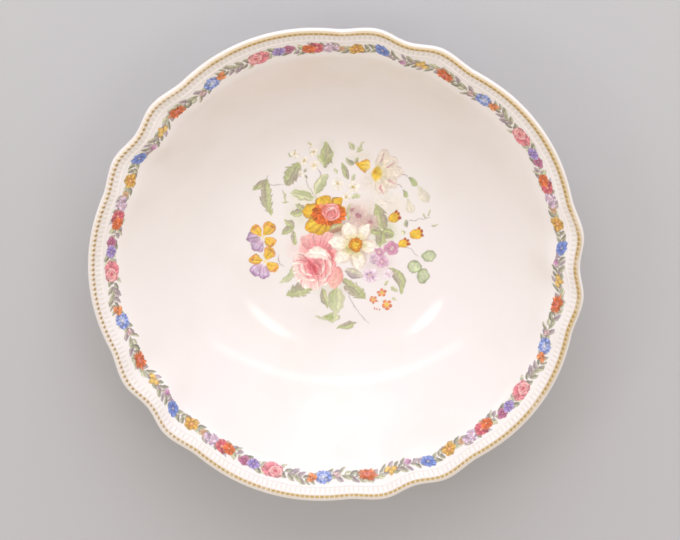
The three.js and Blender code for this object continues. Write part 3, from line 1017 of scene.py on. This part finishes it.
def daisy(paint, centre):
    """An orange flower with many narrow petals round a pink cushion."""
    for angle in range(-10, 350, 20):
        reach = (5.6 - 2.5 * abs(math.sin(math.radians(angle)))) * paint.random.uniform(0.8, 1.1)
        blade(paint, centre, polar(centre, angle, reach), 1.35, ((196, 84, 56), CORAL, (216, 120, 70)),
              edge=(164, 70, 48), edge_share=0.9, grain=0.18)
    spot(paint, centre, (2.4, 1.1), ((230, 170, 140), (212, 116, 92), CORAL), soft=0.6)
    for angle in (200, 240, 300, 340):
        stroke(paint, (centre, polar(centre, angle, 2.2)), 0.5, (188, 78, 84), cover=0.6)


# Light and dark tones of the garland's leaves, and how often each pair is used
GARLAND_LEAF_TONES = (
    ((204, 208, 172), (166, 170, 142)), (SAGE, SAGE_DEEP), ((182, 184, 152), (142, 134, 124)),
    ((178, 158, 178), (146, 126, 142)),
)
GARLAND_LEAF_SHARES = (0.28, 0.28, 0.22, 0.22)


def garland_leaves(paint):
    """Leaves to both sides of a wandering stem."""
    stem = [(s, 0.7 * math.sin(s / 4.1)) for s in range(1, 138, 4)]
    for first in range(0, len(stem) - 2, 2):
        stroke(paint, stem[first:first + 3], 0.45, (170, 158, 150), cover=0.7, taper=0.1, ends=0.05)
    s = 0.4
    side = 1
    while s < GARLAND_END - 5:
        base = (s, 0.9 * math.sin(s / 4.1))
        angle = side * paint.random.uniform(14, 56)
        length = paint.random.uniform(3.4, 5.8)
        tones = paint.random.choice(len(GARLAND_LEAF_TONES), p=GARLAND_LEAF_SHARES)
        light, dark = GARLAND_LEAF_TONES[tones]
        width = paint.random.uniform(1.8, 2.9)
        bend = side * paint.random.uniform(0, 0.6)
        leaf(paint, base, polar(base, angle, length), width, bend, light=light, dark=dark,
             rib=(108, 94, 98))
        s += paint.random.uniform(0.9, 1.6)
        side = -side


def garland():
    """One repeat of the border: x runs along it, y across it towards the rim."""
    paint = Paint((-1.5, -5.6), (139.2, 5.8), GARLAND_PER_MM, GARLAND_SEED)
    garland_leaves(paint)
    for flower in GARLAND_FLOWERS:
        open_flower(paint, *flower)
    garland_rose(paint, (66.6, -0.1))
    daisy(paint, (113, -0.8))
    for centre, tilt in (((123.2, -1.8), 160), ((126.6, -0.7), 15), ((124.8, 0.2), 100)):
        spot(paint, centre, (1.8, 1.3), ((246, 220, 150), (232, 192, 100), (214, 166, 80)), tilt=tilt,
             edge=(204, 150, 90))
    bud = (SAGE, (176, 120, 158), (190, 144, 176), (216, 190, 208))
    for reach, width in ((4.8, 2), (4.2, 3.2)):
        blade(paint, (136.2, -0.6), (136.2 - reach, -1.2), width, bud, edge=(146, 92, 130), grain=0.12)
    paint.by_hand(0.3, 1.3)
    paint.by_hand(0.12, 0.5)
    paint.fade((158, 142, 132), 0.13, 0.08)
    return paint


# ---- Enamel and gilt layers

LAYER_BASE = 0.04
LAYER_RISE = 0.03
LEAST_COVER = 0.01
CELLS_PER_FACE = 2

# The garland's middle line, the wall's slope there, and how far each repeat is out of its place
GARLAND_RADIUS = 104.75
GARLAND_SLOPE = 34.0
GARLAND_SHIFTS = (-0.5, 0.5, 0.1, -0.3, 0.2)

GILT_STEPS = BEADS * 8
# Gold on the beads, darkened as painted shade, then the paler gold between the beads
GILT_SHADED_BEAD = (0.37, 0.225, 0.055)
GILT_BETWEEN = (0.57, 0.40, 0.13)
GILT_SEED = 5
# The gilt strip from its outer to its inner edge: distance outwards from the beads, and cover
GILT_ROWS = (
    (1.75, 0.15), (1.4, 0.5), (1.0, 0.6), (0.65, 0.65), (0.4, 0.9), (0.15, 1), (-0.15, 1), (-0.4, 0.9),
    (-0.65, 0.5), (-0.9, 0.15),
)
# Painted light on the gilding: on one side the beads are shaded darker and the gold between them is
# thinned, and in front the gold is thinned off the beads so that it looks paler
DOTTED_LIGHT_ANGLE = 176
# Painted light: the angle in front where the gold is thinned off the beads, and by how much
PAINTED_LIGHT_ANGLE = 250
PAINTED_LIGHT_SHARE = 0.65
# Random rubbed wear of the gold
RUBBED_SHARE = 0.25


def linear(srgb):
    share = np.clip(np.asarray(srgb, float) / 255, 0, 1)
    return np.where(share <= 0.04045, share / 12.92, ((share + 0.055) / 1.055) ** 2.4)


def paint_mesh(mesh, rgb, alpha):
    layer = mesh.color_attributes.new("paint", "FLOAT_COLOR", "POINT")
    layer.data.foreach_set("color", np.concatenate([rgb, alpha[:, None]], 1).astype(np.float32).ravel())


def grid_faces(kept):
    """The quads of a grid whose cells are kept, and the grid's vertices that they use."""
    rows, cols = np.nonzero(kept)
    width = kept.shape[1] + 1
    corner = rows * width + cols
    quads = np.stack([corner, corner + 1, corner + width + 1, corner + width], 1)
    used, index = np.unique(quads, return_inverse=True)
    return used, index.reshape(quads.shape)


def shrink_line(values):
    """The means of each few neighbours in a row."""
    return values[:len(values) // CELLS_PER_FACE * CELLS_PER_FACE].reshape(-1, CELLS_PER_FACE).mean(1)


def shrink(values):
    """The means of each few neighbours in a picture."""
    n = CELLS_PER_FACE
    rows, cols = (size // n for size in values.shape[:2])
    return values[:rows * n, :cols * n].reshape(rows, n, cols, n, *values.shape[2:]).mean((1, 3))


def enamel_layer(name, paint, place):
    """The painted area as a thin layer on the glaze. Its edges run out into the glaze."""
    cover = shrink(paint.cover)
    rgb = shrink(paint.rgb * paint.cover[..., None]) / np.maximum(cover, 1e-4)[..., None]
    x, y = np.meshgrid(shrink_line(paint.x), shrink_line(paint.y))
    near = np.maximum.reduce([cover[:-1, :-1], cover[1:, :-1], cover[:-1, 1:], cover[1:, 1:]])
    used, faces = grid_faces(near > LEAST_COVER)
    flat = cover.ravel()[used]
    points = place(x.ravel()[used], y.ravel()[used], LAYER_BASE + LAYER_RISE * flat)
    mesh = bpy.data.meshes.new(name)
    mesh.from_pydata(points * MM, [], faces.tolist())
    mesh.shade_smooth()
    paint_mesh(mesh, linear(rgb.reshape(-1, 3)[used]), flat)
    return add_object(name, mesh)


def garland_place(index):
    """Places on the inside for one repeat of the garland."""
    start = index * LOBE_ANGLE + GARLAND_SHIFTS[index]
    per_degree = GARLAND_LENGTH / LOBE_ANGLE

    def place(s, t, lift):
        angle = np.radians(start + s / per_degree)
        radius = GARLAND_RADIUS + t * math.cos(math.radians(GARLAND_SLOPE))
        return on_inside(radius * np.cos(angle), radius * np.sin(angle), lift)

    return place


def gilt_mesh():
    """A narrow strip over the beads: darker gold on each bead as painted shade and paler gold between them,
    with random rubbed wear, and painted light that thins the gold between the beads on one side and off the
    beads in front.
    """
    wave = bead_wave(GILT_STEPS)
    away = np.arange(GILT_STEPS) * (2 * np.pi / GILT_STEPS) - math.radians(DOTTED_LIGHT_ANGLE)
    # Painted light: the side of the rim where the beads are shaded darker and the gold between them is
    # thinned
    dotted_light_side = smooth(np.cos(away), 0.35, 1)
    random = np.random.default_rng(GILT_SEED)
    rubbed = cloud(random, (1, GILT_STEPS), 60)[0] + 0.6 * cloud(random, (1, GILT_STEPS), 11)[0]
    # The gold's cover: random rubbed wear, and painted light that thins it between the beads on one side
    kept = (1 - RUBBED_SHARE * smooth(rubbed, 0.2, 1.2)) * (1 - 0.65 * dotted_light_side * (1 - wave))
    # Painted light: the gold thinned off the beads in front, so that it looks paler there
    painted_light_thinning = smooth(np.cos(away - math.radians(PAINTED_LIGHT_ANGLE - DOTTED_LIGHT_ANGLE)), -0.2, 0.8)
    rings = []
    colours = []
    covers = []
    for out, cover in GILT_ROWS:
        radius = BEAD_RADIUS + out
        rings.append(ring(radius, rim_height(radius, wave) + LAYER_BASE, GILT_STEPS))
        # Painted shade: darker gold on each bead, strongest on the side of the dotted light
        painted_bead_shade = smooth(wave - 0.7 * abs(out), 0.2, 0.7) * (0.45 + 0.55 * dotted_light_side)
        colours.append(blend(GILT_BETWEEN, GILT_SHADED_BEAD, painted_bead_shade))
        covers.append(cover * kept * (1 - PAINTED_LIGHT_SHARE * painted_light_thinning * smooth(abs(out), 0.15, 0.7)))
    mesh = rings_to_mesh("gilt_looks", rings)
    paint_mesh(mesh, np.concatenate(colours), np.concatenate(covers))
    return mesh


def finish_piece(piece, material, node):
    """Gives a piece its material and its body, and hides the CAD node that it replaces."""
    piece.data.materials.append(material)
    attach(piece, "root")
    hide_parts(node)


def build_body():
    body = add_object("glazed_bowl", body_mesh())
    finish_piece(body, glaze_material(), "bowl_body")
    body.data.materials.append(biscuit_material())
    for face in body.data.polygons:
        if face.center.z < BARE_FOOT_HEIGHT * MM:
            face.material_index = 1


def build_layers():
    enamel = enamel_material()
    repeat = garland()
    for index in range(LOBES):
        strip = enamel_layer("flower_border_%d" % (index + 1), repeat, garland_place(index))
        finish_piece(strip, enamel, "border_transfer_%d" % (index + 1))
    spray = enamel_layer("centre_bouquet", bouquet(), on_inside)
    finish_piece(spray, enamel, "centre_bouquet_transfer")
    gilt = add_object("gilt_beading", gilt_mesh())
    finish_piece(gilt, gilt_material(), "gilt_line")


# ---- Floor, light and camera

FLOOR_REACH = 20
FLOOR_GREY = (0.52, 0.52, 0.53, 1)
AIM = Vector((0, 0, 0.02))
FRONT_LIGHT = (0.755, 0.67, 0.55)
BACK_LIGHT = (0.76, 0.755, 0.81)
ROOM_BLEND = 0.8

# The camera, fitted to the photograph: place in millimetres, directions, lens and sensor
CAMERA_PLACE = (35.9, 328.5, 1175.9)
CAMERA_RIGHT = (0.99948, -0.02081, -0.02474)
CAMERA_UP = (0.01297, 0.95913, -0.28266)
LENS = 132.4
SENSOR_WIDTH = 36


def floor():
    corners = [(x * FLOOR_REACH, y * FLOOR_REACH, 0) for x, y in ((-1, -1), (1, -1), (1, 1), (-1, 1))]
    mesh = bpy.data.meshes.new("floor")
    mesh.from_pydata(corners, [], [(0, 1, 2, 3)])
    material, _, _, shader = new_material("floor_paper")
    shader.inputs["Base Color"].default_value = FLOOR_GREY
    shader.inputs["Roughness"].default_value = 0.9
    shader.inputs["Specular IOR Level"].default_value = 0
    mesh.materials.append(material)
    add_object("floor", mesh)


def sky_place(azimuth, elevation, distance):
    """A place given by its direction and distance from the bowl, in degrees and metres."""
    flat, height = polar((0, 0), elevation, distance)
    return Vector((*polar((0, 0), azimuth, flat), height))


def area_light(name, place, size, power, colour=(1, 1, 1), shape="RECTANGLE", mirrored=True, roll=0):
    """A softbox that looks at the bowl. Its mirror image in the glaze can be left out."""
    data = bpy.data.lights.new(name, "AREA")
    data.shape = shape
    data.size, data.size_y = size
    data.energy = power
    data.color = colour
    light = add_object(name, data)
    facing = (AIM - place).to_track_quat("-Z", "Y").to_matrix().to_4x4()
    light.matrix_world = Matrix.Translation(place) @ facing @ Matrix.Rotation(math.radians(roll), 4, "Z")
    light.visible_glossy = mirrored


def studio():
    """Even room light, a little warmer from the front, with soft boxes behind the bowl."""
    world = bpy.data.worlds.new("studio")
    world.use_nodes = True
    nodes = world.node_tree.nodes
    links = world.node_tree.links
    direction = nodes.new("ShaderNodeTexCoord")
    parts = nodes.new("ShaderNodeSeparateXYZ")
    links.new(direction.outputs["Generated"], parts.inputs["Vector"])
    share = nodes.new("ShaderNodeMapRange")
    share.inputs["From Min"].default_value = -ROOM_BLEND
    share.inputs["From Max"].default_value = ROOM_BLEND
    links.new(parts.outputs["Y"], share.inputs["Value"])
    colour = mixed_colour(nodes, links, share.outputs["Result"], FRONT_LIGHT, BACK_LIGHT)
    links.new(colour, nodes["Background"].inputs["Color"])
    bpy.context.scene.world = world
    area_light("key", sky_place(85, 45, 1.4), (0.9, 0.9), 6.5, (1, 0.975, 1.03), mirrored=False)
    area_light("right_lamp", sky_place(19, 72, 0.99), (0.25, 0.2), 0.5, shape="ELLIPSE", roll=38)
    area_light("left_lamp", sky_place(163, 60, 0.98), (0.25, 0.19), 0.5, shape="ELLIPSE", roll=-42)
    area_light("window", Vector((-0.07, 1.0, 0.36)), (0.85, 0.52), 0.85, shape="ELLIPSE")
    area_light("high_strip", Vector((0, 1.0, 0.86)), (4.6, 0.15), 5.0, (0.96, 0.97, 1))


def camera():
    data = bpy.data.cameras.new("camera")
    data.sensor_width = SENSOR_WIDTH
    data.lens = LENS
    right = Vector(CAMERA_RIGHT)
    up = Vector(CAMERA_UP)
    turn = Matrix((right, up, right.cross(up))).transposed().to_4x4()
    view = add_object("camera", data)
    view.matrix_world = Matrix.Translation(Vector(CAMERA_PLACE) * MM) @ turn
    bpy.context.scene.camera = view


build_body()
build_layers()
floor()
studio()
camera()
bpy.context.scene.view_settings.view_transform = "Standard"
